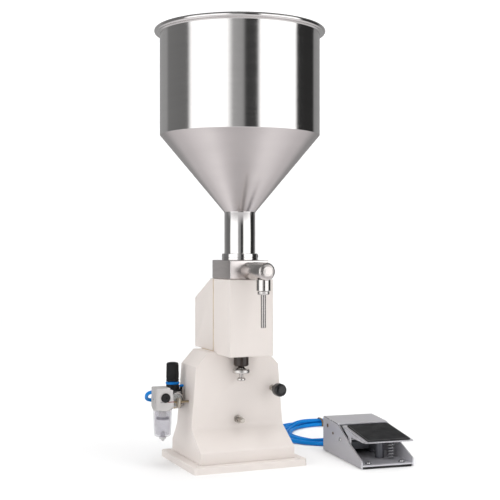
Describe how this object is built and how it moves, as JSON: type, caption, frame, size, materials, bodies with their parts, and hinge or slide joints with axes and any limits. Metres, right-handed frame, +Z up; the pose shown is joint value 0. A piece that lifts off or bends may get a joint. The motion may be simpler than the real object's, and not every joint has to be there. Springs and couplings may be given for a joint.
{
  "type": "piston filling machine",
  "caption": "Pneumatic benchtop piston filler for pastes: conical steel hopper on a cream body, front spout, air filter unit and a foot valve on blue hoses.",
  "frame": {"origin": "centre of the base plate on its underside, at floor level", "axes": "+Z up, the spout and the controls face -Y, +X is on the right of someone standing in front, the foot valve stands to the right"},
  "size_m": [0.5257, 0.4324, 0.6976],
  "materials": {
    "cream_paint": "cream-white powder coat, satin, slightly pebbled",
    "polished_steel": "stainless steel polished to soft mirror bands",
    "satin_steel": "stainless steel, finely ground",
    "zinc_steel": "zinc-plated steel, dull",
    "spring_steel": "bright drawn steel",
    "cast_alloy": "die-cast alloy, silver-grey, fine grain",
    "dark_alloy": "die-cast alloy, dark grey coat",
    "pedal_grey": "grey metallic paint, semi-gloss",
    "black_rubber": "black moulded rubber, ribbed",
    "seal_rubber": "black seal rubber",
    "black_plastic": "black moulded plastic, satin",
    "black_gloss": "glossy black moulded ball",
    "white_plastic": "white sintered plastic",
    "clear_bowl": "clear polycarbonate, slightly frosted",
    "blue_hose": "blue polyurethane tube, glossy",
    "brass_fitting": "turned brass"
  },
  "bodies": {
    "machine": {"base_plate": "cream_paint", "lower_body": "cream_paint", "rear_panel": "cream_paint", "head_front_cover": "cream_paint", "head_rear_casing": "cream_paint", "cylinder_bracket": "zinc_steel", "product_cylinder": "satin_steel", "air_cylinder": "cast_alloy", "rod_bumper": "black_plastic", "valve_block": "satin_steel", "spout_body": "polished_steel", "outlet_body": "polished_steel", "outlet_nut": "polished_steel", "discharge_tube": "satin_steel", "hopper": "polished_steel", "hopper_collar": "polished_steel", "selector_nut": "zinc_steel", "throttle_nut": "zinc_steel", "control_valve": "cast_alloy", "unit_bracket": "zinc_steel", "filter_head": "cast_alloy", "filter_plug": "black_plastic", "filter_nipple": "brass_fitting", "filter_bowl": "clear_bowl", "filter_element": "white_plastic", "regulator_body": "cast_alloy", "regulator_bonnet": "black_plastic", "gauge_case": "black_plastic", "link_tube": "blue_hose", "rear_fitting_a": "black_plastic", "rear_fitting_b": "black_plastic", "pedal_mat": "black_rubber", "pedal_housing": "pedal_grey", "pedal_pin": "spring_steel", "treadle_spring": "spring_steel", "pedal_valve": "dark_alloy", "pedal_port_block": "dark_alloy", "hose_coil": "blue_hose", "hose_a_lead": "blue_hose", "hose_a_tail": "blue_hose", "hose_b_lead": "blue_hose", "hose_b_tail": "blue_hose"},
    "ram": {"piston_rod": "satin_steel", "product_piston": "satin_steel", "air_piston": "cast_alloy", "piston_seal": "seal_rubber", "rod_end_bolt": "satin_steel"},
    "stop": {"stop_cone": "satin_steel"},
    "wheel": {"adjusting_wheel": "satin_steel"},
    "inlet_check": {"inlet_ball": "satin_steel"},
    "outlet_check": {"outlet_ball": "satin_steel", "outlet_spring": "spring_steel"},
    "selector": {"selector_knob": "black_gloss"},
    "throttle": {"throttle_screw": "zinc_steel"},
    "regulator_cap": {"regulator_knob": "black_plastic"},
    "pointer": {"gauge_needle": "black_plastic"},
    "drain": {"drain_screw": "cast_alloy"},
    "treadle_arm": {"treadle": "pedal_grey", "treadle_pad": "black_rubber"},
    "plunger_pin": {"plunger": "spring_steel"}
  },
  "joints": [
    {"name": "ram_stroke", "type": "slide", "parent": "machine", "child": "ram", "axis": [0, 0, 1], "range_m": [-0.036, 0]},
    {"name": "stop_height", "type": "slide", "parent": "ram", "child": "stop", "axis": [0, 0, 1], "range_m": [-0.0045, 0]},
    {"name": "adjuster_turn", "type": "hinge", "parent": "stop", "child": "wheel", "pos_m": [0, -0.0372, 0.15], "axis": [0, 0, 1], "range_deg": [-1620, 0]},
    {"name": "inlet_lift", "type": "slide", "parent": "machine", "child": "inlet_check", "axis": [0, 0, 1], "range_m": [0, 0.0039]},
    {"name": "outlet_lift", "type": "slide", "parent": "machine", "child": "outlet_check", "axis": [0, -1, 0], "range_m": [0, 0.005], "stiffness_N_per_m": 200, "springref_m": -0.01},
    {"name": "selector_push", "type": "slide", "parent": "machine", "child": "selector", "axis": [0, 1, 0], "range_m": [0, 0.006]},
    {"name": "throttle_turn", "type": "hinge", "parent": "machine", "child": "throttle", "pos_m": [0, -0.034, 0.0716], "axis": [0, -1, 0], "range_deg": [-540, 540]},
    {"name": "regulator_turn", "type": "hinge", "parent": "machine", "child": "regulator_cap", "pos_m": [-0.0924, 0.0326, 0.145], "axis": [0, 0, -1], "range_deg": [0, 1080]},
    {"name": "pointer_swing", "type": "hinge", "parent": "machine", "child": "pointer", "pos_m": [-0.0933, 0.0111, 0.103], "axis": [0, 1, 0], "range_deg": [0, 270]},
    {"name": "drain_turn", "type": "hinge", "parent": "machine", "child": "drain", "pos_m": [-0.1229, -0.0091, 0.047], "axis": [0, 0, -1], "range_deg": [0, 180]},
    {"name": "treadle_press", "type": "hinge", "parent": "machine", "child": "treadle_arm", "pos_m": [0.21318, -0.06222, 0.0315], "axis": [0.9954, -0.0958, 0], "range_deg": [0, 8], "stiffness_Nm_per_rad": 3, "springref_deg": -20.05, "deforming": ["treadle_spring"]},
    {"name": "plunger_travel", "type": "slide", "parent": "machine", "child": "plunger_pin", "axis": [0, 0, 1], "range_m": [-0.005, 0]}
  ],
  "couplings": [
    {"joint": "adjuster_turn", "follows": "stop_height", "rad_per_m": 6283.2},
    {"joint": "pointer_swing", "follows": "regulator_turn", "ratio": 0.25},
    {"joint": "plunger_travel", "follows": "treadle_press", "m_per_rad": -0.035}
  ]
}
